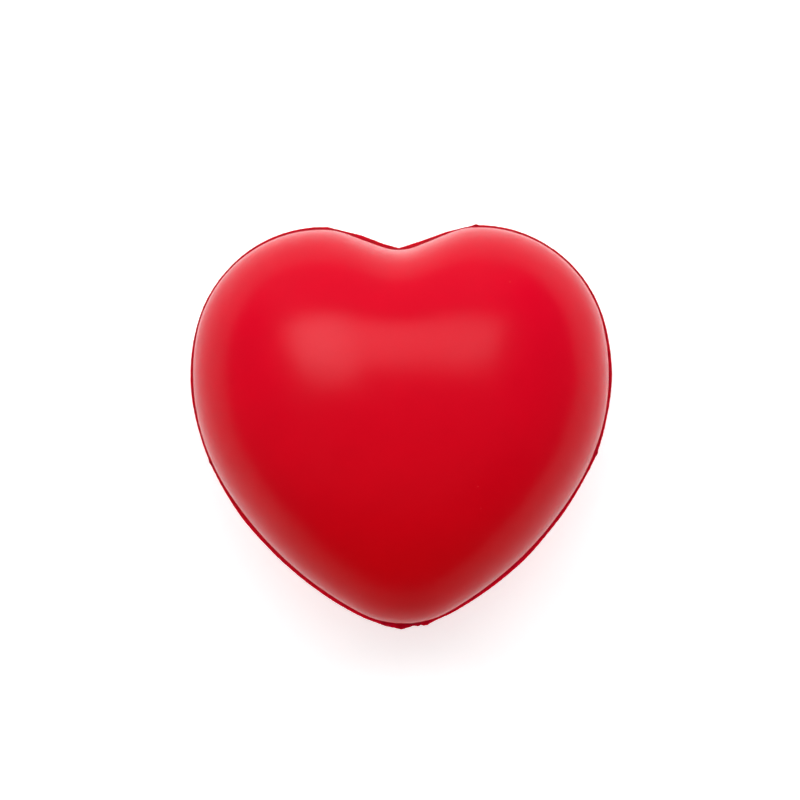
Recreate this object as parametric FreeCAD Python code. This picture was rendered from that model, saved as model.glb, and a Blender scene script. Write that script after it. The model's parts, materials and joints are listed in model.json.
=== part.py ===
"""Heart-shaped squeeze-foam stress ball, lying on its back.

The ball is one moulding of self-skinning foam under a sprayed coat. It is drawn as the layers that
a knife would show: a soft core, a dense skin and a coat on each mould half's side, and on the
parting line between the halves the trimmed flash, the pouring-gate stub and the vent nibs.

+X points to the ball's right lobe side, +Y to the notch, +Z out of the front face. The origin is
the centre of the box's underside. Lengths are in millimetres, angles in degrees.
"""
import FreeCAD
import Part
import math
import os

# Outline of the moulded face at the parting plane: tangent arcs and the notch's straight sides,
# mirrored about the Y axis
FACE_WIDTH = 70.65
TIP_DROP = 42.4           # from the widest line down to the tip
SIDE_RADIUS = 36.6
LOBE_RADIUS = 21.8
SHOULDER_RADIUS = 12.0    # turn from the top of a lobe into the notch
FLANK_RADIUS = 60.3
NOTCH_RADIUS = 8.0
NOTCH_SLOPE = 21.2        # slope of the notch's straight sides
SIDE_TO_LOBE = 11.5       # turn of the side arc above the widest line
SIDE_TO_FLANK = 31.5      # turn of the side arc below the widest line
CROWN_DROP = 5.4          # from the widest line down to the crowns
DETAIL_FADE = 0.4         # how fast the finer waves of the outline die out towards the crowns

# Thickness and layers
THICKNESS = 50.0          # crown to crown, before the ball settles on its back
SETTLE = 0.5              # how far the rear crown flattens where the ball rests
COAT = 0.2
BOND = 0.03               # glue line between layers and stubs that are one on the real ball
SKIN = 1.2
CORE_CLEARANCE = 0.15

# Flash on the parting line
FLASH = 0.5               # thickness
FLASH_CLEARANCE = 0.1     # to the coat and skin edges above and below it
FLASH_WIDTH = 0.6         # how far it stands out of the face
NOTCH_TRIM = 17.3         # slope of the straight cuts into the notch
TIP_TRIM = 15.0           # slope of the straight cuts at the tip
GATE_WIDTH = 8.0
GATE_THICKNESS = 1.3
NIB_LENGTH = 1.4
NIB_THICKNESS = 0.8
NIB_REACH = 0.3           # how far a nib stands out of the flash
TOP_NIB_TURN = 23.6       # nib on top of the right lobe, clockwise from the notch
SIDE_NIB_TURNS = (104.4, -105.5)

# Fineness of the domes
FRONT_CAP = 2.5           # slope at the edge of the small flat on the front crown
LEVELS = 11               # contours from the parting plane to a crown
SPOKES = 72               # points on a contour
WAVES = 40                # cosine terms that describe the outline
SAMPLES = 360             # outline points that the terms are worked out from

half_thickness = THICKNESS / 2
parting_z = half_thickness - SETTLE
rear_cap = math.degrees(math.acos(1 - SETTLE / half_thickness))
edge_rise = FLASH / 2 + FLASH_CLEARANCE
skin_inset = COAT + BOND
cavity_inset = skin_inset + SKIN
core_inset = cavity_inset + CORE_CLEARANCE


def vector(x, y, z=0.0):
    return FreeCAD.Vector(x, y, z)


def turned(degrees):
    """Unit vector at an angle anticlockwise from +X."""
    return vector(math.cos(math.radians(degrees)), math.sin(math.radians(degrees)))


# Arc centres of the right half, with the widest line at y = 0
side_centre = vector(FACE_WIDTH / 2 - SIDE_RADIUS, 0)
lobe_centre = side_centre + turned(SIDE_TO_LOBE) * (SIDE_RADIUS - LOBE_RADIUS)
lobe_top = lobe_centre + vector(0, LOBE_RADIUS)
shoulder_centre = lobe_top - vector(0, SHOULDER_RADIUS)
shoulder_end = shoulder_centre + turned(90 + NOTCH_SLOPE) * SHOULDER_RADIUS
flank_centre = side_centre - turned(-SIDE_TO_FLANK) * (FLANK_RADIUS - SIDE_RADIUS)
tip_gap = FLANK_RADIUS - TIP_DROP
tip_centre = vector(0, (tip_gap ** 2 - flank_centre.Length ** 2) / (2 * (tip_gap - flank_centre.y)))
tip_radius = tip_centre.y + TIP_DROP


def axis_point(point, slope):
    """Where a line at a slope through a point meets the Y axis."""
    return vector(0, point.y - point.x * math.tan(math.radians(slope)))


notch_rise = NOTCH_RADIUS / math.cos(math.radians(NOTCH_SLOPE))
notch_centre = axis_point(shoulder_end, NOTCH_SLOPE) + vector(0, notch_rise)
notch_end = notch_centre - turned(90 + NOTCH_SLOPE) * NOTCH_RADIUS

# The lowest and highest points of the outline, and the shift that centres them on the origin
trimmed_tip_y = tip_centre.y - (tip_radius + FLASH_WIDTH) / math.cos(math.radians(TIP_TRIM))
top_nib_y = lobe_top.y + FLASH_WIDTH + BOND + NIB_REACH
shift = vector(0, -(trimmed_tip_y + top_nib_y) / 2)
crown = vector(0, -CROWN_DROP)

# Points where one stretch of the right half meets the next, from the notch to the tip
joins = (
    notch_end,
    shoulder_end,
    lobe_top,
    side_centre + turned(SIDE_TO_LOBE) * SIDE_RADIUS,
    side_centre + turned(-SIDE_TO_FLANK) * SIDE_RADIUS,
    flank_centre + (tip_centre - flank_centre).normalize() * FLANK_RADIUS,
)


def bearing(point):
    """Angle of a point about the crown, clockwise from the notch."""
    return math.degrees(math.atan2(point.x - crown.x, point.y - crown.y))


def reach_to_arc(ray, centre, radius, side):
    """Distance along a ray from the crown to an arc, on its far side (1) or its near side (-1)."""
    along = (centre - crown).dot(ray)
    aside = (centre - crown).cross(ray).Length
    return along + side * math.sqrt(radius ** 2 - aside ** 2)


def reach_to_notch_side(ray, inset):
    """Distance along a ray from the crown to the notch's straight side."""
    normal = turned(90 + NOTCH_SLOPE)
    return ((notch_end - crown).dot(normal) - inset) / ray.dot(normal)


def outline_reach(angle, inset):
    """Distance from the crown to the outline, moved in by an inset, at an angle from the notch."""
    ray = turned(90 - angle)
    passed = sum(angle > bearing(point) for point in joins)
    if passed == 0:
        return reach_to_arc(ray, notch_centre, NOTCH_RADIUS + inset, -1)
    if passed == 1:
        return reach_to_notch_side(ray, inset)
    centre, radius = (
        (shoulder_centre, SHOULDER_RADIUS),
        (lobe_centre, LOBE_RADIUS),
        (side_centre, SIDE_RADIUS),
        (flank_centre, FLANK_RADIUS),
        (tip_centre, tip_radius),
    )[passed - 2]
    return reach_to_arc(ray, centre, radius - inset, 1)


def outline_waves(inset):
    """Cosine terms of the outline's reach about the crown."""
    step = 180.0 / SAMPLES
    angles = [step * (i + 0.5) for i in range(SAMPLES)]
    reaches = [outline_reach(angle, inset) for angle in angles]
    terms = []
    for k in range(WAVES):
        total = sum(r * math.cos(k * math.radians(a)) for a, r in zip(angles, reaches))
        terms.append(total * (1 if k == 0 else 2) / SAMPLES)
    return terms


def contour(terms, level, height):
    """Closed curve at a level from 0 at the crown to 1 at the outline; detail fades inwards."""
    faded = [c * level ** (DETAIL_FADE * k + 1) for k, c in enumerate(terms)]
    ring = []
    for i in range(SPOKES):
        angle = 360.0 * i / SPOKES
        reach = sum(c * math.cos(k * math.radians(angle)) for k, c in enumerate(faded))
        ring.append(crown + shift + turned(90 - angle) * reach + vector(0, 0, height))
    curve = Part.BSplineCurve()
    curve.interpolate(Points=ring, PeriodicFlag=True)
    return Part.Wire(curve.toShape())


def dome(inset, side, rise, cap):
    """Solid half of the ball inside an inset, above (side 1) or below (side -1) the parting plane.

    Its foot is moved off the plane by a rise, and its crown is cut flat where it slopes by cap.
    """
    terms = outline_waves(inset)
    depth = half_thickness - inset - rise
    rings = []
    for i in range(LEVELS):
        slope = math.radians(90 + (cap - 90) * i / (LEVELS - 1))
        height = parting_z + side * (rise + depth * math.cos(slope))
        rings.append(contour(terms, math.sin(slope), height))
    return Part.makeLoft(rings, True)


def shell(outer, inner, side):
    """One layer of a half, between two insets."""
    cap = FRONT_CAP if side > 0 else rear_cap
    return dome(outer, side, edge_rise, cap).cut(dome(inner, side, edge_rise, cap))


def core():
    """Soft foam that fills both halves."""
    front = dome(core_inset, 1, 0, FRONT_CAP)
    rear = dome(core_inset, -1, 0, rear_cap)
    return front.fuse(rear).removeSplitter()


def swing(centre, first, last, radius):
    """Arc edge about a centre, between the directions of two points."""
    start = math.degrees(math.atan2(first.y - centre.y, first.x - centre.x))
    end = math.degrees(math.atan2(last.y - centre.y, last.x - centre.x))
    points = [centre + shift + turned(a) * radius for a in (start, (start + end) / 2, end)]
    return Part.Arc(*points).toShape()


def straight(first, last):
    return Part.LineSegment(first + shift, last + shift).toShape()


def lobe_to_flank(shoulder_point, growth):
    """Shoulder, lobe, side and flank edges of the right half, moved out by a growth."""
    stretches = (
        (shoulder_centre, SHOULDER_RADIUS, shoulder_point, joins[2]),
        (lobe_centre, LOBE_RADIUS, joins[2], joins[3]),
        (side_centre, SIDE_RADIUS, joins[3], joins[4]),
        (flank_centre, FLANK_RADIUS, joins[4], joins[5]),
    )
    return [swing(centre, first, last, radius + growth) for centre, radius, first, last in stretches]


def mirrored_face(half):
    """Flat face inside right-half edges and their mirror images about the Y axis."""
    other = [e.mirror(vector(0, 0), vector(1, 0)) for e in half]
    return Part.Face(Part.Wire(Part.__sortEdges__(half + other)))


def moulded_face(growth):
    """Flat face inside the moulded outline moved out by a growth."""
    outward = turned(90 + NOTCH_SLOPE) * growth
    half = [swing(notch_centre, notch_centre - vector(0, 1), notch_end, NOTCH_RADIUS - growth)]
    half.append(straight(notch_end + outward, shoulder_end + outward))
    half += lobe_to_flank(shoulder_end, growth)
    half.append(swing(tip_centre, joins[5], tip_centre - vector(0, 1), tip_radius + growth))
    return mirrored_face(half)


def trimmed_face():
    """Flat face inside the flash's cut edge, with straight cuts at the notch and the tip."""
    shoulder_cut = shoulder_centre + turned(90 + NOTCH_TRIM) * (SHOULDER_RADIUS + FLASH_WIDTH)
    tip_cut = tip_centre + turned(-90 + TIP_TRIM) * (tip_radius + FLASH_WIDTH)
    half = [straight(axis_point(shoulder_cut, NOTCH_TRIM), shoulder_cut)]
    half += lobe_to_flank(shoulder_cut, FLASH_WIDTH)
    half.append(swing(tip_centre, joins[5], tip_cut, tip_radius + FLASH_WIDTH))
    half.append(straight(tip_cut, vector(0, trimmed_tip_y)))
    return mirrored_face(half)


def slab(face, thickness):
    """Flat face thickened evenly about the parting plane."""
    return face.translated(vector(0, 0, parting_z - thickness / 2)).extrude(vector(0, 0, thickness))


def gate_zone(growth):
    """Block round the tip that the gate stub fills, widened by a growth."""
    width = GATE_WIDTH + 2 * growth
    corner = vector(-width / 2, trimmed_tip_y - 1) + shift
    return Part.makeBox(width, tip_radius, THICKNESS, corner)


def parting_flash():
    """Thin fin that runs between the halves and stands out all round."""
    ring = slab(trimmed_face(), FLASH).cut(slab(moulded_face(-cavity_inset), FLASH))
    return ring.cut(gate_zone(BOND))


def gate_stub():
    """Trimmed stub of the pouring gate at the tip: a thick lip with a root between the skins."""
    root = slab(trimmed_face(), FLASH).cut(slab(moulded_face(-cavity_inset), FLASH))
    lip = slab(trimmed_face(), GATE_THICKNESS).cut(slab(moulded_face(FLASH_CLEARANCE), GATE_THICKNESS))
    return root.fuse(lip).common(gate_zone(0)).removeSplitter()


def flash_edge(angle):
    """Point on the flash's cut edge, at an angle from the notch."""
    return crown + shift + turned(90 - angle) * outline_reach(abs(angle), -FLASH_WIDTH)


def vent_nib(angle):
    """Cut-off stub of one mould vent, standing out of the flash's edge."""
    along = (flash_edge(angle + 1) - flash_edge(angle - 1)).normalize()
    outward = vector(-along.y, along.x)
    foot = flash_edge(angle) + outward * BOND
    top = foot + outward * NIB_REACH
    corners = [
        foot - along * NIB_LENGTH / 2,
        foot + along * NIB_LENGTH / 2,
        top + along * NIB_LENGTH / 4,
        top - along * NIB_LENGTH / 4,
    ]
    return slab(Part.Face(Part.makePolygon(corners + corners[:1])), NIB_THICKNESS)


def vent_nibs():
    """All vent stubs, as separate solids."""
    return Part.makeCompound([vent_nib(angle) for angle in (TOP_NIB_TURN, *SIDE_NIB_TURNS)])


def build():
    """Every piece of the ball by name."""
    return {
        "front_coat": shell(0, COAT, 1),
        "front_skin": shell(skin_inset, cavity_inset, 1),
        "rear_coat": shell(0, COAT, -1),
        "rear_skin": shell(skin_inset, cavity_inset, -1),
        "foam_core": core(),
        "parting_flash": parting_flash(),
        "gate_stub": gate_stub(),
        "vent_nibs": vent_nibs(),
    }


os.makedirs("parts", exist_ok=True)
for name, piece in build().items():
    piece.exportStep(f"parts/{name}.step")
    print(name, "valid" if piece.isValid() else "INVALID", len(piece.Solids), round(piece.Volume, 1))
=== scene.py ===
"""Heart-shaped foam stress ball on its back on a white table, seen from straight above.

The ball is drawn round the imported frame: coats, skins and core are domes over one heart outline,
and the flash, gate stub and vent nibs stand on the parting line between them. Sizes of the outline
are in millimetres and angles in degrees; everything handed to Blender is in metres.
"""
import json
import math
import random

import bmesh
import bpy
import numpy as np
from mathutils import Euler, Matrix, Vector, noise


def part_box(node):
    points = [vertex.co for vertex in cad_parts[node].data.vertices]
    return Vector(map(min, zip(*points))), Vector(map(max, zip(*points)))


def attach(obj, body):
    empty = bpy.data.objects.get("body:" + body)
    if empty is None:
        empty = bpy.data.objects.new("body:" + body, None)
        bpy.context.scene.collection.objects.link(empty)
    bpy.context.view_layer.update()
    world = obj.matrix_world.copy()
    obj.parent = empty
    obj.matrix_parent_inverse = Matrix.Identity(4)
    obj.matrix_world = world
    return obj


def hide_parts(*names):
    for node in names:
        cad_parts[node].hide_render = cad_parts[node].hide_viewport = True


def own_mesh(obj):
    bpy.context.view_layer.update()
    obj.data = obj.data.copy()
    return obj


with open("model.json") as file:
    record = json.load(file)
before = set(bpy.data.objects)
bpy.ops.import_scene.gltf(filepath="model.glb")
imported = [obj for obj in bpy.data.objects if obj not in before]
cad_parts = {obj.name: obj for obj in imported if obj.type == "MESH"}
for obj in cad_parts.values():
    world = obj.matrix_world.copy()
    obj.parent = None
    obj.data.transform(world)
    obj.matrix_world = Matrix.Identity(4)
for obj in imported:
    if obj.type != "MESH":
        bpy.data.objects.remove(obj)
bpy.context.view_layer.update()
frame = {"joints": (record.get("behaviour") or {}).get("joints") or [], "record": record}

MM = 0.001

# Heart outline at the parting plane: tangent arcs and the notch's straight sides
SIDE_RADIUS = 36.6
LOBE_RADIUS = 21.8
SHOULDER_RADIUS = 12.0
FLANK_RADIUS = 60.3
NOTCH_RADIUS = 8.0
NOTCH_SLOPE = 21.2
TIP_DROP = 42.4
SIDE_TO_LOBE = 11.5
SIDE_TO_FLANK = 31.5
WAVES = 40                # cosine terms that describe the outline
SAMPLES = 720
DETAIL_FADE = 0.4         # how fast the finer waves die out towards the crown

# Layers, as insets from the ball's surface
COAT = 0.2
SKIN_OUT = 0.23
SKIN_IN = 1.43
CORE = 1.58
COAT_MESH = (320, 96)     # spokes and rows of a half's mesh
FOAM_MESH = (180, 44)

# Where the layers meet the flash
COAT_FOOT = 0.22          # height of a coat's edge above the parting plane
SKIN_FOOT = 0.35
FLASH_ROOT = 0.13         # half the flash's thickness where it enters the ball
FLASH_EDGE = 0.08         # half its thickness at the cut edge
FLASH_DEPTH = 1.2         # how far it runs into the ball
FLASH_NECK = 0.02         # how far out its full thickness reaches
FLASH_LIP = 0.82          # where its edge starts to round, from the neck to the cut
FLASH_WAVE = (0.10, 0.16) # height and number per millimetre of its long waves up and down
FLASH_CURL = (0.07, 0.5)  # and of its short ones

# Surface unevenness of the moulding
LUMP_SIZE = 17.0
LUMP_HEIGHT = 0.09
FINE_LUMPS = (2.7, 0.35)  # how much smaller and lower the finer lumps are
FOOT_FADE = 0.12          # share of the rows over which the lumps rise from the parting line
REST_FADE = 3.0           # height over which they rise from the table
SETTLE_BLEND = 0.07       # softness of the edge of the flat that the ball rests on

# Corners between the knife cuts that trimmed the flash: bearing clockwise from the notch, and the
# width left there
TRIM_CUTS = (
    (0, 0.42), (9, 0.64), (16, 0.46), (23, 0.47), (34, 0.46), (48, 0.43), (58, 0.46), (64, 0.44),
    (72, 0.52), (82, 0.66), (94, 0.50), (104, 0.62), (112, 0.50), (124, 0.64), (132, 0.64), (142, 0.80),
    (154, 0.70), (168, 0.54), (171.5, 0.48), (173, 0.64), (174.4, 0.84), (176, 0.70), (178, 0.60),
    (-179.2, 1.10), (-175, 0.80), (-170, 0.60), (-160, 0.68),
    (-136, 0.68), (-124, 0.76), (-110, 0.48), (-97, 0.42), (-84, 0.58), (-74, 0.52), (-68, 0.41),
    (-52, 0.39), (-40, 0.50), (-22, 0.56), (-13, 0.74), (-6, 0.70),
)
EDGE_STEP = 0.15          # spacing of the points along the cut edge
CUT_SPAN = 3.0            # longest straight cut round the sides, as an angle about the crown
NOTCH_CUTS = 20.0         # bearings from the notch and from the tip within which the cuts are long
TIP_CUTS = 12.0
GATE_HALF = 4.0           # half the width of the gate stub
GATE_NECK = 0.04          # how far outside the coats it starts to swell
GATE_RISE = 0.22          # how far it swells above and below the flash
GATE_ROUGH = (0.09, 2.2)  # height of its lumps, and their number per millimetre
GATE_ROWS = 8
RAGGED = 0.035            # height of the tears along the cut edge
TEARS = 1.9               # their number per millimetre, and that of the finer ones
FINE_TEARS = 6.0
TORN_PLACE = 3.0 - 34.3j  # where the edge is torn instead of cut, beside the gate
TORN = 7                  # how many times higher the tears are there

# Vent nibs: bearing, length along the flash, and how far they stand out of it
NIBS = ((23.6, 1.3, 0.14), (104.4, 1.5, 0.12), (-105.5, 1.4, 0.10))
NIB_ROOT = 0.12           # how far a nib runs into the flash
NIB_HALF = 0.20           # half its thickness at the foot
NIB_CHIP = 0.03           # unevenness of its faces
NIB_TAPER = 0.45          # how much shorter and thinner it gets towards its top
NIB_THINNING = 0.07
NIB_END = (0.35, 0.3)     # how much lower and thinner it is at both ends
NIB_COLUMNS = 7
NIB_LEVELS = 4

# Specks of dust under the coat: x and y about the crown, and radius
SPECKS = ((18.0, 20.0, 0.22), (12.1, -13.1, 0.15), (12.6, -16.7, 0.13))
SPECK_RISE = 0.04
SPECK_RINGS = (2.2, 1.2, 0.7)        # ever smaller rounds in which the mesh is split

RED = (0.65, 0.0, 0.004, 1)          # coat towards the tip
LIT_CRIMSON = (0.71, 0.0, 0.017, 1)      # coat towards the lobes, painted lighter and bluer there as light from the lamps above them
LIT_CRIMSON_FROM = -22.0      # y where the painted light starts to turn the red crimson, and where it is all crimson
LIT_CRIMSON_TO = 22.0
SHADED_DEEP_RED = (0.38, 0.0, 0.014, 1)     # flash: the coat's red, a little darker of its own and darker still as painted shade at the dome's foot
TIP_GLOW_FROM = -34.0     # y where the flash is palest with painted light, and where it is back to its deep red
TIP_GLOW_TO = 6.0
SPECK_GLINT_RED = (0.72, 0.012, 0.020, 1)   # where the coat is thin over a speck, and lighter partly as a painted highlight of the glint it catches
PALE_FOAM = (0.86, 0.74, 0.60, 1)
TABLE_WHITE = (0.895, 0.94, 0.945, 1)
COAT_IOR = 1.17
FLASH_IOR = 1.12
ROUGH = (0.22, 0.25)
SHEEN = (0.22, 0.5)       # reflection level at the tip and on the rest of the ball; lower at the tip as painted shade for the darker room on that side
SHEEN_FROM = -31.0        # y where it starts to rise, and where it is full
SHEEN_TO = -12.0

# Table, wall and room
TABLE_GLOW = (0.31, 0.62)            # self-lit strength at the tip's and at the notch's end
GLOW_SWEEP = 0.12                    # from the middle to each of those ends, in metres
TABLE_HALF = 1.5                     # metres
BACKDROP = 1.45                      # radius and height of the wall, in metres
WALL_SIDES = 48
ROOM_LIGHT = 0.12

# Lamps: radiance, (width, height), shift aside, bearing from +Y, tilt from straight above, distance;
# lengths in metres
STRIP = (2.75, (1.46, 0.46), -0.07, 0, 32, 0.85)
BACK = (0.36, (2.0, 0.8), 0, -15, 68, 1.2)
GLINTS = (                                            # hot parts of the strip, seen in reflections only
    (3.5, (1.40, 0.36), -0.07, 0, 32, 0.84),
    (4.2, (0.45, 0.56), -0.50, 0, 29, 0.83),
    (0.9, (0.30, 0.40), 0.42, 0, 31, 0.82),
    (0.7, (2.0, 0.62), -0.15, 0, 72, 1.15),
)
FILLS = (                                             # big panels, seen in no reflection
    (0.43, (3.0, 3.0), 0, 0, 0, 1.5),
    (0.40, (1.6, 1.0), 0, -95, 62, 1.2),
    (0.42, (1.6, 1.0), 0, 80, 62, 1.2),
    (0.23, (1.6, 1.0), 0, 180, 76, 1.2),
)

# Camera, straight above the ball
LENS = 100.0
SENSOR = 36.0
FIELD = 0.1363            # width of the view at the parting plane
ROLL = 0.87               # how far the ball lies turned in the view
LOOK_UP = 4.55            # how far the ball lies below the middle of the view, in millimetres
LOOK_LEFT = 0.31          # and to its right

coat_low, coat_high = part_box("front_coat")
flash_low, flash_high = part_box("parting_flash")
parting_z = (flash_low[2] + flash_high[2]) / 2 / MM
top_z = coat_high[2] / MM
half_thickness = top_z - parting_z
face_width = (coat_high[0] - coat_low[0]) / MM

# Pressed, each half gives way by half the front's travel: its side, the height that stays with its
# body, and the share of its thickness that is left
press = abs(frame["joints"][0]["range_m"][1]) / MM
halves = {
    "front": (1, top_z, 1 - press / 2 / half_thickness),
    "rear": (-1, 0, 1 - press / 2 / parting_z),
}


def turned(degrees):
    """Unit complex number at an angle anticlockwise from +X; the real part is x, the other y."""
    return np.exp(1j * np.radians(degrees))


# Stations of the right half, with the widest line at y = 0, as complex numbers
side_centre = face_width / 2 - SIDE_RADIUS
lobe_centre = side_centre + turned(SIDE_TO_LOBE) * (SIDE_RADIUS - LOBE_RADIUS)
lobe_top = lobe_centre + 1j * LOBE_RADIUS
shoulder_centre = lobe_top - 1j * SHOULDER_RADIUS
notch_normal = turned(90 + NOTCH_SLOPE)
shoulder_end = shoulder_centre + notch_normal * SHOULDER_RADIUS
apex_y = shoulder_end.imag - shoulder_end.real * math.tan(math.radians(NOTCH_SLOPE))
notch_centre = 1j * (apex_y + NOTCH_RADIUS / math.cos(math.radians(NOTCH_SLOPE)))
notch_end = notch_centre - notch_normal * NOTCH_RADIUS
flank_centre = side_centre - turned(-SIDE_TO_FLANK) * (FLANK_RADIUS - SIDE_RADIUS)
tip_gap = FLANK_RADIUS - TIP_DROP
tip_centre = 1j * (tip_gap ** 2 - abs(flank_centre) ** 2) / (2 * (tip_gap - flank_centre.imag))
tip_radius = tip_centre.imag + TIP_DROP
joins = (
    notch_end,
    shoulder_end,
    lobe_top,
    side_centre + turned(SIDE_TO_LOBE) * SIDE_RADIUS,
    side_centre + turned(-SIDE_TO_FLANK) * SIDE_RADIUS,
    flank_centre + (tip_centre - flank_centre) / abs(tip_centre - flank_centre) * FLANK_RADIUS,
)

# The crown's place: the middle of the patch that the ball rests on
crown_y = frame["record"]["mounts"][0]["pos_m"][1] / MM
widest_y = (coat_low[1] / MM) + TIP_DROP
crown = 1j * (crown_y - widest_y)


def bearing(point):
    """Angle of a point about the crown, clockwise from the notch."""
    return math.degrees(math.atan2((point - crown).real, (point - crown).imag))


def outline_reach(angles, inset):
    """Distances from the crown to the outline, moved in by an inset, at angles from the notch."""
    angles = np.abs((np.asarray(angles, float) + 180) % 360 - 180)
    ray = turned(90 - angles)

    def to_arc(centre, radius, side):
        """Distance along the rays to the far (1) or near (-1) side of an arc."""
        seen = (centre - crown) * np.conj(ray)
        return seen.real + side * np.sqrt(np.maximum(radius ** 2 - seen.imag ** 2, 0))

    offset = ((notch_end - crown) * np.conj(notch_normal)).real - inset
    reaches = [
        to_arc(notch_centre, NOTCH_RADIUS + inset, -1),
        offset / (ray * np.conj(notch_normal)).real,
        to_arc(shoulder_centre, SHOULDER_RADIUS - inset, 1),
        to_arc(lobe_centre, LOBE_RADIUS - inset, 1),
        to_arc(side_centre, SIDE_RADIUS - inset, 1),
        to_arc(flank_centre, FLANK_RADIUS - inset, 1),
        to_arc(tip_centre, tip_radius - inset, 1),
    ]
    passed = sum((angles > bearing(point)).astype(int) for point in joins)
    return np.choose(passed, reaches)


def outline_point(angles, inset=0.0):
    """Points of the outline in the part's own frame, as complex numbers."""
    return 1j * crown_y + turned(90 - np.asarray(angles, float)) * outline_reach(angles, inset)


def outline_normal(angles):
    """Unit normals out of the outline."""
    along = outline_point(np.asarray(angles) + 0.25) - outline_point(np.asarray(angles) - 0.25)
    return along / np.abs(along) * 1j


def outline_waves(inset):
    """Cosine terms of the outline's reach about the crown."""
    angles = (np.arange(SAMPLES) + 0.5) * 180 / SAMPLES
    reach = outline_reach(angles, inset)
    k = np.arange(WAVES)[:, None]
    terms = (reach * np.cos(k * np.radians(angles))).sum(1) * 2 / SAMPLES
    terms[0] /= 2
    return terms


def dome_grid(inset, side, foot, spokes, rows):
    """Points of half the ball's surface inside an inset, from its foot to the crown."""
    terms = outline_waves(inset)
    slope = np.radians(np.linspace(90, 0, rows + 1))[:, None, None]
    angle = (np.arange(spokes) * 360 / spokes)[None, :, None]
    k = np.arange(WAVES)[None, None, :]
    reach = (terms * np.sin(slope) ** (DETAIL_FADE * k + 1) * np.cos(k * np.radians(angle))).sum(2)
    flat = 1j * crown_y + turned(90 - angle[:, :, 0]) * reach
    height = foot + (half_thickness - inset - foot) * np.cos(slope[:, :, 0])
    z = parting_z + side * height + 0 * reach
    if side < 0:
        depth = (z - inset) / SETTLE_BLEND
        z = inset + SETTLE_BLEND * np.logaddexp(0, depth)
    return np.stack([flat.real, flat.imag, z], 2)


def lump(point):
    """Height of the moulding's unevenness near a point."""
    place = Vector(point) / LUMP_SIZE
    finer, lower = FINE_LUMPS
    return LUMP_HEIGHT * (noise.noise(place) + lower * noise.noise(place * finer + Vector((5, 3, 1))))


def uneven(grid, base):
    """Move a grid along its normals by the unevenness at the base grid, less at its foot and flat."""
    down = np.gradient(grid, axis=0)
    across = (np.roll(grid, -1, 1) - np.roll(grid, 1, 1)) / 2
    normal = np.cross(across, down)
    length = np.linalg.norm(normal, axis=2, keepdims=True)
    normal = np.where(length > 1e-9, normal / np.maximum(length, 1e-9), 0)
    rows, spokes, _ = grid.shape
    height = np.array([[lump(p) for p in row] for row in base])
    from_foot = np.minimum(1, np.arange(rows) / (FOOT_FADE * rows))[:, None]
    from_table = np.minimum(1, base[:, :, 2] / REST_FADE)
    outward = np.sign((normal * (grid - grid.mean((0, 1)))).sum())
    return grid + outward * normal * (height * from_foot * from_table)[:, :, None]


def surface(inset, side, foot, spokes, rows):
    """Half surface with the moulding's unevenness on it."""
    grid = dome_grid(inset, side, foot, spokes, rows)
    return uneven(grid, dome_grid(0, side, foot, spokes, rows))


def add_piece(name, points, faces, material, smooth=True):
    """Object from points in millimetres and faces, with normals pointing out."""
    mesh = bpy.data.meshes.new(name)
    mesh.from_pydata([tuple(float(c) * MM for c in p) for p in points], [], faces)
    work = bmesh.new()
    work.from_mesh(mesh)
    bmesh.ops.recalc_face_normals(work, faces=work.faces)
    for face in work.faces:
        face.smooth = smooth
    work.to_mesh(mesh)
    work.free()
    mesh.validate()
    piece = bpy.data.objects.new(name, mesh)
    bpy.context.scene.collection.objects.link(piece)
    mesh.materials.append(material)
    return piece


def strip_faces(first, second, count, closed=True):
    """Quads between two rings or strips of vertices that start at two indices."""
    last = count if closed else count - 1
    return [(first + i, first + (i + 1) % count, second + (i + 1) % count, second + i) for i in range(last)]


def grid_faces(rows, spokes, start=0):
    """Quads of a dome grid, closed by a fan at the crown: (faces, number of points used)."""
    faces = []
    for row in range(rows - 1):
        faces += strip_faces(start + row * spokes, start + (row + 1) * spokes, spokes)
    ring, pole = start + (rows - 1) * spokes, start + rows * spokes
    faces += [(ring + i, ring + (i + 1) % spokes, pole) for i in range(spokes)]
    return faces, rows * spokes + 1


def dome_points(grid):
    """Grid as a list of points, with the crown's row as one point."""
    return list(grid[:-1].reshape(-1, 3)) + [grid[-1].mean(0)]


def shell_piece(name, insets, side, foot, mesh, material):
    """Closed shell of one layer of a half."""
    outer, inner = insets
    spokes, rows = mesh
    outside = surface(outer, side, foot, spokes, rows)
    inside = surface(inner, side, foot, spokes, rows)
    faces, used = grid_faces(rows, spokes)
    back, _ = grid_faces(rows, spokes, used)
    foot_ring = strip_faces(0, used, spokes)
    return add_piece(name, dome_points(outside) + dome_points(inside), faces + back + foot_ring, material)


def core_piece(material):
    """Closed body of soft foam in both halves."""
    spokes, rows = FOAM_MESH
    front = surface(CORE, 1, 0, spokes, rows)
    rear = surface(CORE, -1, 0, spokes, rows)
    faces, used = grid_faces(rows, spokes)
    back, _ = grid_faces(rows, spokes, used)
    piece = add_piece("foam_core_body", dome_points(front) + dome_points(rear), faces + back, material)
    work = bmesh.new()
    work.from_mesh(piece.data)
    bmesh.ops.remove_doubles(work, verts=work.verts, dist=0.01 * MM)
    bmesh.ops.recalc_face_normals(work, faces=work.faces)
    work.to_mesh(piece.data)
    work.free()
    return piece


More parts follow.
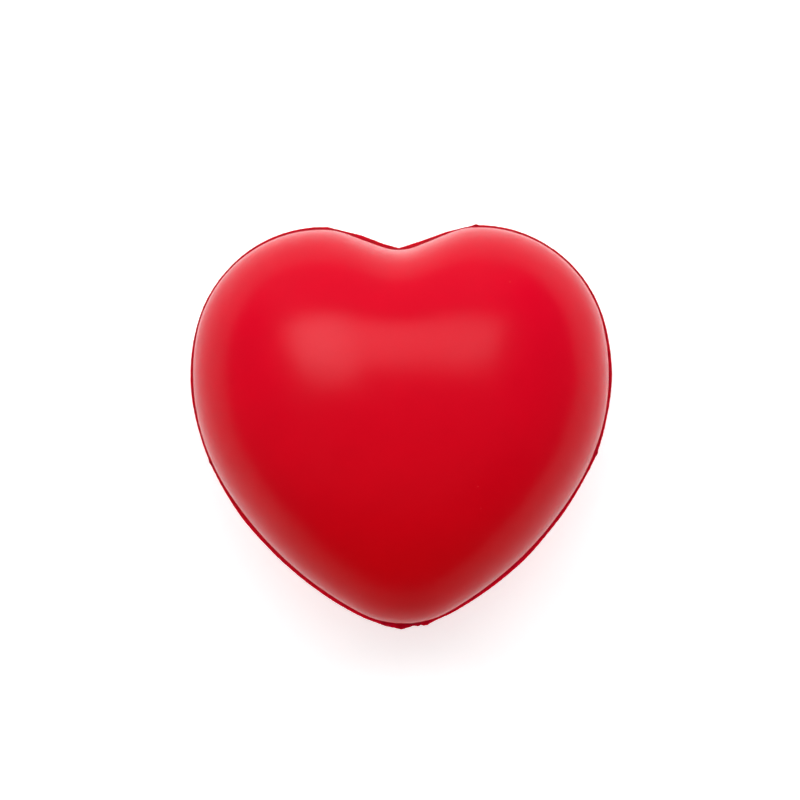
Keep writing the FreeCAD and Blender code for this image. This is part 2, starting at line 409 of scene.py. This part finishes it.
def speck(piece, x, y, radius):
    """Raise a speck in the front coat: split the mesh finely round it, then lift the points near it."""
    work = bmesh.new()
    work.from_mesh(piece.data)
    centre = Vector((x, crown_y + y)) * MM
    facing = [v for v in work.verts if v.normal.z > 0]
    hit = min(facing, key=lambda v: (v.co.xy - centre).length).co.copy()
    for reach in SPECK_RINGS:
        near = {v for v in work.verts if (v.co - hit).length < reach * MM and v.normal.z > 0}
        edges = [e for e in work.edges if near.issuperset(e.verts)]
        bmesh.ops.subdivide_edges(work, edges=edges, cuts=2, use_grid_fill=True)
    for v in work.verts:
        away = (v.co.xy - centre).length / (radius * MM)
        if away < 2.5 and v.normal.z > 0 and abs(v.co.z - hit.z) < MM:
            v.co.z += SPECK_RISE * math.exp(-(away ** 2)) * MM
    work.to_mesh(piece.data)
    work.free()


def trim_corners():
    """Corners of the cut edge; round the sides, each stretch is a run of short cuts."""
    listed = sorted(TRIM_CUTS)
    listed.append((listed[0][0] + 360, listed[0][1]))
    corners = []
    for (start, width), (end, next_width) in zip(listed[:-1], listed[1:]):
        middle = abs(start + end) / 2
        straight = middle < NOTCH_CUTS or middle > 180 - TIP_CUTS
        cuts = 1 if straight else math.ceil((end - start) / CUT_SPAN)
        for i in range(cuts):
            share = i / cuts
            corners.append((start + (end - start) * share, width + (next_width - width) * share))
    return corners


def waviness(points, number, seed):
    """Smooth noise at points of the parting plane, with a number of waves per millimetre."""
    return np.array([noise.noise((p.real * number, p.imag * number, seed)) for p in points])


def cut_edge():
    """Cut edge of the flash as dense points, with small tears that are bigger beside the gate."""
    angles, widths = np.array(trim_corners()).T
    corners = outline_point(angles) + outline_normal(angles) * widths
    corners = np.append(corners, corners[0])
    points = []
    for first, last in zip(corners[:-1], corners[1:]):
        count = max(2, int(abs(last - first) / EDGE_STEP))
        points += list(first + (last - first) * np.arange(count) / count)
    points = np.array(points)
    outward = np.roll(points, 1) - np.roll(points, -1)
    outward = outward / np.abs(outward) * -1j
    tears = waviness(points, TEARS, seed=20) + 0.6 * waviness(points, FINE_TEARS, seed=2)
    torn = 1 + TORN * np.exp(-np.abs(points - TORN_PLACE) ** 2)
    return points - outward * RAGGED * torn * tears


def around_crown(points):
    """Bearings about the crown of points in the part's own frame."""
    return np.array([math.degrees(math.atan2(p.real, p.imag - crown_y)) for p in points])


def fin_rows(edge):
    """Rows of points across the fin, from its root over the cut edge and back, for each edge point."""
    angles = around_crown(edge)
    root = outline_point(angles, FLASH_DEPTH)
    neck = outline_point(angles, -FLASH_NECK)
    lip = neck + (edge - neck) * FLASH_LIP
    wave = FLASH_WAVE[0] * waviness(edge, FLASH_WAVE[1], seed=3)
    curl = FLASH_CURL[0] * waviness(edge, FLASH_CURL[1], seed=9)
    # Place, height above the middle, and share of the waves
    upper = (
        (root, FLASH_ROOT * 0.9, 0),
        (neck, FLASH_ROOT, 0),
        (lip, FLASH_EDGE * 1.15, 0.8),
        (edge, FLASH_EDGE * 0.55, 1),
    )
    lower = [(flat, -height, share) for flat, height, share in reversed(upper)]
    rows = []
    for flat, height, share in (*upper, *lower):
        z = parting_z + height + (wave + curl) * share
        rows.append(np.stack([flat.real, flat.imag, z], 1))
    return rows


def fin_piece(name, edge, material, closed=False):
    """Closed fin along a stretch of cut edge, capped at both ends."""
    rows = fin_rows(edge)
    count = len(edge)
    points = [p for row in rows for p in row]
    faces = []
    for i in range(len(rows)):
        faces += strip_faces(i * count, (i + 1) % len(rows) * count, count, closed)
    if not closed:
        faces.append(tuple(i * count for i in range(len(rows))))
        faces.append(tuple(i * count + count - 1 for i in reversed(range(len(rows)))))
    return add_piece(name, points, faces, material)


def flash_pieces(material):
    """The parting flash, and the gate stub that interrupts it at the tip."""
    edge = cut_edge()
    at_tip = (np.abs(edge.real) < GATE_HALF) & (edge.imag < 0)
    start = np.flatnonzero(at_tip & ~np.roll(at_tip, 1))[0]
    edge, at_tip = np.roll(edge, -start), np.roll(at_tip, -start)
    count = at_tip.sum()
    flash = fin_piece("parting_flash_fin", edge[count:], material)
    gate = gate_piece(np.concatenate([edge[-1:], edge[:count + 1]]), material)
    return flash, gate


def gate_piece(edge, material):
    """Gate stub: a thicker lip with a torn top and bottom, which swells only outside the coats."""
    angles = around_crown(edge)
    neck = outline_point(angles, -GATE_NECK)
    count = len(edge)
    lip = np.sqrt(np.sin(np.pi * np.arange(count) / (count - 1)).clip(0))
    strips = [(outline_point(angles, FLASH_DEPTH), 0 * lip), (neck, 0 * lip)]
    for share in np.arange(1, GATE_ROWS + 1) / GATE_ROWS:
        strips.append((neck + (edge - neck) * share, lip * (1 - share ** 6)))
    points = []
    for side in (1, -1):
        for flat, swell in strips:
            rough = GATE_ROUGH[0] * waviness(flat, GATE_ROUGH[1], seed=side * 4)
            height = FLASH_ROOT * 0.9 + (GATE_RISE + rough) * swell
            points += [(p.real, p.imag, parting_z + side * h) for p, h in zip(flat, height)]
    rows = len(strips)
    half = count * rows
    faces = strip_faces((rows - 1) * count, half + (rows - 1) * count, count, closed=False)
    faces += strip_faces(0, half, count, closed=False)
    for start in (0, half):
        for row in range(rows - 1):
            faces += strip_faces(start + row * count, start + (row + 1) * count, count, closed=False)
    for end in (0, count - 1):
        upper = [row * count + end for row in range(rows)]
        lower = [half + row * count + end for row in reversed(range(rows))]
        faces.append(upper + lower)
    return add_piece("gate_stub_torn", points, faces, material)


def flash_width(angle):
    """Width of the flash at a bearing."""
    angles, widths = np.array(sorted(TRIM_CUTS)).T
    return float(np.interp(angle, angles, widths))


def nib_points(angle, width, reach, rng):
    """Upper, then lower points of a nib, column by column from its foot to its top."""
    outward = outline_normal(angle)
    along = -1j * outward
    foot = outline_point(angle) + outward * (flash_width(angle) - NIB_ROOT)
    points = []
    for side in (1, -1):
        for x in np.linspace(-1, 1, NIB_COLUMNS):
            for share in np.linspace(0, 1, NIB_LEVELS):
                chip = NIB_CHIP * (rng.random() - 0.5)
                sideways = x * width / 2 * (1 - NIB_TAPER * share)
                out = share * (reach + NIB_ROOT) * (1 - NIB_END[0] * x * x) + chip
                height = (NIB_HALF - NIB_THINNING * share + chip) * (1 - NIB_END[1] * x * x)
                p = foot + along * sideways + outward * out
                points.append((p.real, p.imag, parting_z + side * height))
    return points


def nib_faces(start):
    """Faces of a nib whose points begin at an index."""
    half = NIB_COLUMNS * NIB_LEVELS
    faces = []
    for offset in (0, half):
        for column in range(NIB_COLUMNS - 1):
            first = start + offset + column * NIB_LEVELS
            faces += strip_faces(first, first + NIB_LEVELS, NIB_LEVELS, closed=False)
    for column in (0, NIB_COLUMNS - 1):
        first = start + column * NIB_LEVELS
        faces += strip_faces(first, first + half, NIB_LEVELS, closed=False)
    for level in (0, NIB_LEVELS - 1):
        for column in range(NIB_COLUMNS - 1):
            first = start + column * NIB_LEVELS + level
            faces.append((first, first + NIB_LEVELS, first + NIB_LEVELS + half, first + half))
    return faces


def nib_piece(material):
    """The cut-off vent stubs: small chipped wedges on the flash's edge."""
    rng = random.Random(12)
    points, faces = [], []
    for angle, width, reach in NIBS:
        faces += nib_faces(len(points))
        points += nib_points(angle, width, reach, rng)
    return add_piece("vent_nib_stubs", points, faces, material, smooth=False)


class Shader:
    """A material's node tree, with short ways to add and join nodes."""

    def __init__(self, name):
        self.material = bpy.data.materials.new(name)
        self.material.use_nodes = True
        self.tree = self.material.node_tree
        self.surface = self.tree.nodes["Principled BSDF"]
        self.place = self.add("ShaderNodeTexCoord").outputs["Object"]

    def add(self, kind, **settings):
        """New node, with its properties or inputs set by name."""
        node = self.tree.nodes.new(kind)
        for key, value in settings.items():
            if hasattr(node, key):
                setattr(node, key, value)
            else:
                node.inputs[key.replace("_", " ")].default_value = value
        return node

    def join(self, source, target):
        """Link an output to an input."""
        self.tree.links.new(source, target)

    def height_on_face(self):
        """Place along Y, from the tip up to the notch."""
        axes = self.add("ShaderNodeSeparateXYZ")
        self.join(self.place, axes.inputs["Vector"])
        return axes.outputs["Y"]

    def noise(self, size, detail=2.0, roughness=0.5):
        """Noise whose features are about a size in millimetres."""
        node = self.add("ShaderNodeTexNoise", Scale=1 / (size * MM), Detail=detail, Roughness=roughness)
        self.join(self.place, node.inputs["Vector"])
        return node.outputs["Fac"]

    def ramp(self, source, *stops):
        """Colour ramp over (position, colour) stops."""
        node = self.add("ShaderNodeValToRGB")
        while len(node.color_ramp.elements) < len(stops):
            node.color_ramp.elements.new(0.5)
        for element, (position, colour) in zip(node.color_ramp.elements, stops):
            element.position = position
            element.color = colour if isinstance(colour, tuple) else (colour, colour, colour, 1)
        self.join(source, node.inputs["Fac"])
        return node.outputs["Color"]

    def spread(self, source, low, high, start=0.3, end=0.7):
        """Source as a number that goes from low to high while the source goes from start to end."""
        node = self.add("ShaderNodeMapRange")
        for name, value in (("From Min", start), ("From Max", end), ("To Min", low), ("To Max", high)):
            node.inputs[name].default_value = value
        self.join(source, node.inputs["Value"])
        return node.outputs["Result"]

    def mix(self, factor, first, second):
        """Colour mix of two sockets or colours by a factor socket."""
        node = self.add("ShaderNodeMix", data_type="RGBA")
        self.join(factor, node.inputs[0])
        for socket, value in ((node.inputs[6], first), (node.inputs[7], second)):
            if isinstance(value, tuple):
                socket.default_value = value
            else:
                self.join(value, socket)
        return node.outputs[2]

    def multiply(self, first, second):
        """Product of two colour sockets."""
        node = self.add("ShaderNodeVectorMath", operation="MULTIPLY")
        self.join(first, node.inputs[0])
        self.join(second, node.inputs[1])
        return node.outputs[0]

    def bump(self, height, depth, strength=1.0, under=None):
        """Bump whose full height is a depth in millimetres."""
        node = self.add("ShaderNodeBump", Strength=strength, Distance=depth * MM)
        self.join(height, node.inputs["Height"])
        if under:
            self.join(under, node.inputs["Normal"])
        return node.outputs["Normal"]

    def spots(self, places):
        """1 inside small round spots and 0 outside, with soft edges; places are x, y, radius."""
        total = None
        for x, y, radius in places:
            flat = self.add("ShaderNodeVectorMath", operation="MULTIPLY")
            flat.inputs[1].default_value = (1, 1, 0)
            self.join(self.place, flat.inputs[0])
            away = self.add("ShaderNodeVectorMath", operation="DISTANCE")
            away.inputs[1].default_value = (x * MM, (crown_y + y) * MM, 0)
            self.join(flat.outputs[0], away.inputs[0])
            spot = self.add("ShaderNodeMapRange", interpolation_type="SMOOTHSTEP")
            spot.inputs["From Min"].default_value = radius * 0.55 * MM
            spot.inputs["From Max"].default_value = radius * 1.05 * MM
            spot.inputs["To Min"].default_value = 1
            spot.inputs["To Max"].default_value = 0
            self.join(away.outputs["Value"], spot.inputs["Value"])
            if total is None:
                total = spot.outputs["Result"]
                continue
            both = self.add("ShaderNodeMath", operation="MAXIMUM")
            self.join(total, both.inputs[0])
            self.join(spot.outputs["Result"], both.inputs[1])
            total = both.outputs[0]
        return total


def shade(colour, factor):
    """Colour with its brightness multiplied."""
    return tuple(c * factor for c in colour[:3]) + (1,)


def coat_material(name, specks):
    """Satin flexible coat: faint mottling, orange peel, fine grain, painted light that makes it lighter and
    bluer towards the lobes, a reflection dimmed towards the tip as painted shade, and thin coat over the
    specks, lighter there partly as a painted highlight.
    """
    s = Shader(name)
    mottles = s.noise(9, 3)
    low = s.ramp(mottles, (0.30, shade(RED, 0.975)), (0.70, shade(RED, 1.02)))
    high = s.ramp(mottles, (0.30, shade(LIT_CRIMSON, 0.975)), (0.70, shade(LIT_CRIMSON, 1.02)))
    # Painted light: the coat turns lighter and bluer towards the lobes, where the lamps shine
    lit_towards_lobes = s.spread(s.height_on_face(), 0, 1, start=LIT_CRIMSON_FROM * MM, end=LIT_CRIMSON_TO * MM)
    colour = s.mix(lit_towards_lobes, low, high)
    grain = s.ramp(s.noise(0.35, 2), (0.35, 0.97), (0.75, 1.0))
    colour = s.mix(s.noise(2.5), colour, s.multiply(colour, grain))
    if specks:
        # The specks are lighter: thin coat over dust, and partly a painted highlight
        colour = s.mix(s.spots(specks), colour, SPECK_GLINT_RED)
    s.join(colour, s.surface.inputs["Base Color"])
    s.join(s.spread(s.noise(6, 3), *ROUGH), s.surface.inputs["Roughness"])
    s.surface.inputs["IOR"].default_value = COAT_IOR
    # Painted shade: the reflection is dimmed towards the tip, where the room is darker
    tip_dimmed_reflection = s.spread(s.height_on_face(), *SHEEN, start=SHEEN_FROM * MM, end=SHEEN_TO * MM)
    s.join(tip_dimmed_reflection, s.surface.inputs["Specular IOR Level"])
    peel = s.bump(s.noise(1.3, 1.5), 0.010, 0.55)
    s.join(s.bump(s.noise(0.22, 2), 0.003, 0.5, peel), s.surface.inputs["Normal"])
    return s.material


def flash_material():
    """Coated fin: deep red, painted darker as shade at the dome's foot and paler towards the tip as painted
    light, a little streaked along its length, dull where the knife went.
    """
    s = Shader("coated_flash_red")
    streaks = s.ramp(s.noise(1.6, 4), (0.3, shade(SHADED_DEEP_RED, 0.82)), (0.7, shade(SHADED_DEEP_RED, 1.15)))
    # Painted light: the flash turns paler towards the tip
    tip_lit_streaks = s.ramp(s.noise(1.1, 4), (0.3, shade(SHADED_DEEP_RED, 1.25)), (0.7, shade(SHADED_DEEP_RED, 1.75)))
    lit_towards_tip = s.spread(s.height_on_face(), 1, 0, start=TIP_GLOW_FROM * MM, end=TIP_GLOW_TO * MM)
    s.join(s.mix(lit_towards_tip, streaks, tip_lit_streaks), s.surface.inputs["Base Color"])
    s.join(s.spread(s.noise(0.8, 3), 0.42, 0.60), s.surface.inputs["Roughness"])
    s.surface.inputs["IOR"].default_value = FLASH_IOR
    s.surface.inputs["Subsurface Weight"].default_value = 0.5
    s.surface.inputs["Subsurface Radius"].default_value = (1.0, 0.1, 0.1)
    s.surface.inputs["Subsurface Scale"].default_value = 1.2 * MM
    s.join(s.bump(s.noise(0.18, 3), 0.012, 0.8), s.surface.inputs["Normal"])
    return s.material


def foam_material(name, cell, tint):
    """Pale foam with cells of a size in millimetres, painted darker in the cells' hollows as shade."""
    s = Shader(name)
    foam = shade(PALE_FOAM, tint)
    cells = s.add("ShaderNodeTexVoronoi", Scale=1 / (cell * MM))
    s.join(s.place, cells.inputs["Vector"])
    depth = cells.outputs["Distance"]
    # Painted shade: the cells are darker where they are deepest
    colour = s.ramp(depth, (0.1, shade(foam, 0.72)), (0.6, foam))
    blotch = s.ramp(s.noise(7, 3), (0.3, shade(foam, 0.93)), (0.7, shade(foam, 1.02)))
    s.join(s.mix(s.noise(3), colour, blotch), s.surface.inputs["Base Color"])
    s.surface.inputs["Roughness"].default_value = 0.9
    s.join(s.bump(depth, cell * 0.6, 0.8), s.surface.inputs["Normal"])
    return s.material


def table_material():
    """White table, a little self-lit so that it looks pure white."""
    s = Shader("white_table")
    colour = s.ramp(s.noise(40, 3), (0.3, shade(TABLE_WHITE, 0.984)), (0.7, TABLE_WHITE))
    s.join(colour, s.surface.inputs["Base Color"])
    s.surface.inputs["Roughness"].default_value = 0.6
    s.surface.inputs["Emission Color"].default_value = (1, 1, 1, 1)
    glow = s.spread(s.height_on_face(), *TABLE_GLOW, start=-GLOW_SWEEP, end=GLOW_SWEEP)
    s.join(glow, s.surface.inputs["Emission Strength"])
    return s.material


def wall_material():
    """Pale self-lit wall."""
    s = Shader("pale_wall")
    s.join(s.ramp(s.noise(300, 2), (0.3, 0.84), (0.7, 0.87)), s.surface.inputs["Emission Color"])
    s.surface.inputs["Emission Strength"].default_value = 1.0
    s.surface.inputs["Base Color"].default_value = (0, 0, 0, 1)
    s.surface.inputs["Specular IOR Level"].default_value = 0
    return s.material


def stage_piece(name, points, faces, material):
    """Object of the set, from points in metres."""
    mesh = bpy.data.meshes.new(name)
    mesh.from_pydata(points, [], faces)
    piece = bpy.data.objects.new(name, mesh)
    bpy.context.scene.collection.objects.link(piece)
    mesh.materials.append(material)
    return piece


def table():
    """White table top."""
    corners = [(x * TABLE_HALF, y * TABLE_HALF, 0) for x, y in ((-1, -1), (1, -1), (1, 1), (-1, 1))]
    stage_piece("table_top", corners, [(0, 1, 2, 3)], table_material())


def backdrop():
    """Pale wall round the table, seen by the camera only."""
    turns = [math.tau * i / WALL_SIDES for i in range(WALL_SIDES)]
    ring = [(BACKDROP * math.cos(turn), BACKDROP * math.sin(turn)) for turn in turns]
    points = [(x, y, z) for z in (0, BACKDROP) for x, y in ring]
    wall = stage_piece("backdrop", points, strip_faces(0, WALL_SIDES, WALL_SIDES), wall_material())
    wall.visible_diffuse = False
    wall.visible_glossy = False
    wall.visible_transmission = False
    wall.visible_shadow = False


def room():
    """Even white room light."""
    world = bpy.data.worlds.new("studio")
    bpy.context.scene.world = world
    world.use_nodes = True
    world.node_tree.nodes["Background"].inputs["Color"].default_value = (1, 1, 1, 1)
    world.node_tree.nodes["Background"].inputs["Strength"].default_value = ROOM_LIGHT


def lamp(name, radiance, size, aside, turn, tilt, away):
    """Soft rectangular lamp that faces the ball."""
    light = bpy.data.lights.new(name, "AREA")
    light.shape = "RECTANGLE"
    light.size, light.size_y = size
    light.energy = radiance * math.pi * size[0] * size[1]
    box = bpy.data.objects.new(name, light)
    aim = Euler((-math.radians(tilt), 0, -math.radians(turn)))
    box.rotation_euler = aim
    box.location = Vector((0, 0, parting_z * MM)) + aim.to_matrix() @ Vector((aside, 0, away))
    bpy.context.scene.collection.objects.link(box)
    return box


def lamps():
    """Strip light above the lobes, panel behind them, and fills all round."""
    lamp("strip_box", *STRIP)
    lamp("back_panel", *BACK)
    for i, glint in enumerate(GLINTS):
        lamp(f"strip_glint_{i}", *glint).visible_diffuse = False
    for i, fill in enumerate(FILLS):
        lamp(f"fill_{i}", *fill).visible_glossy = False


def camera():
    """Camera straight above the ball."""
    data = bpy.data.cameras.new("camera")
    data.lens = LENS
    data.sensor_width = SENSOR
    data.clip_start = 0.01
    view = bpy.data.objects.new("camera", data)
    roll = math.radians(ROLL)
    up = Vector((math.sin(roll), math.cos(roll), 0))
    left = Vector((-math.cos(roll), math.sin(roll), 0))
    height = Vector((0, 0, parting_z * MM + FIELD * LENS / SENSOR))
    view.location = (up * LOOK_UP + left * LOOK_LEFT) * MM + height
    view.rotation_euler = (0, 0, -roll)
    bpy.context.scene.collection.objects.link(view)
    bpy.context.scene.camera = view


def squash_half(piece, body):
    """Ride a foam piece on its body, with a mesh of its own."""
    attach(piece, body)
    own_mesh(piece)


def shell(half, layer, insets, foot, mesh, material, specks=()):
    """One layer of a half, riding on its half's body."""
    side, anchor, keep = halves[half]
    piece = shell_piece(f"{half}_{layer}_shell", insets, side, foot, mesh, material)
    for place in specks:
        speck(piece, *place)
    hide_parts(f"{half}_{layer}")
    squash_half(piece, half)


def coats():
    """Red coat of both halves; the specks are in the front one."""
    front_red = coat_material("red_coat_front", SPECKS)
    rear_red = coat_material("red_coat_rear", ())
    shell("front", "coat", (0, COAT), COAT_FOOT, COAT_MESH, front_red, SPECKS)
    shell("rear", "coat", (0, COAT), COAT_FOOT, COAT_MESH, rear_red)


def skins():
    """Dense foam skin of both halves."""
    foam = foam_material("dense_foam_skin", 0.25, 0.95)
    for half in halves:
        shell(half, "skin", (SKIN_OUT, SKIN_IN), SKIN_FOOT, FOAM_MESH, foam)


def core():
    """Soft foam inside."""
    piece = core_piece(foam_material("soft_foam_cells", 0.6, 1.0))
    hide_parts("foam_core")
    squash_half(piece, "rear")


def rim():
    """Flash, gate stub and vent nibs."""
    red = flash_material()
    flash, gate = flash_pieces(red)
    nibs = nib_piece(red)
    for piece, node in ((flash, "parting_flash"), (gate, "gate_stub"), (nibs, "vent_nibs")):
        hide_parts(node)
        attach(piece, "rim")


bpy.context.scene.view_settings.view_transform = "Standard"
table()
backdrop()
room()
lamps()
camera()
coats()
skins()
core()
rim()
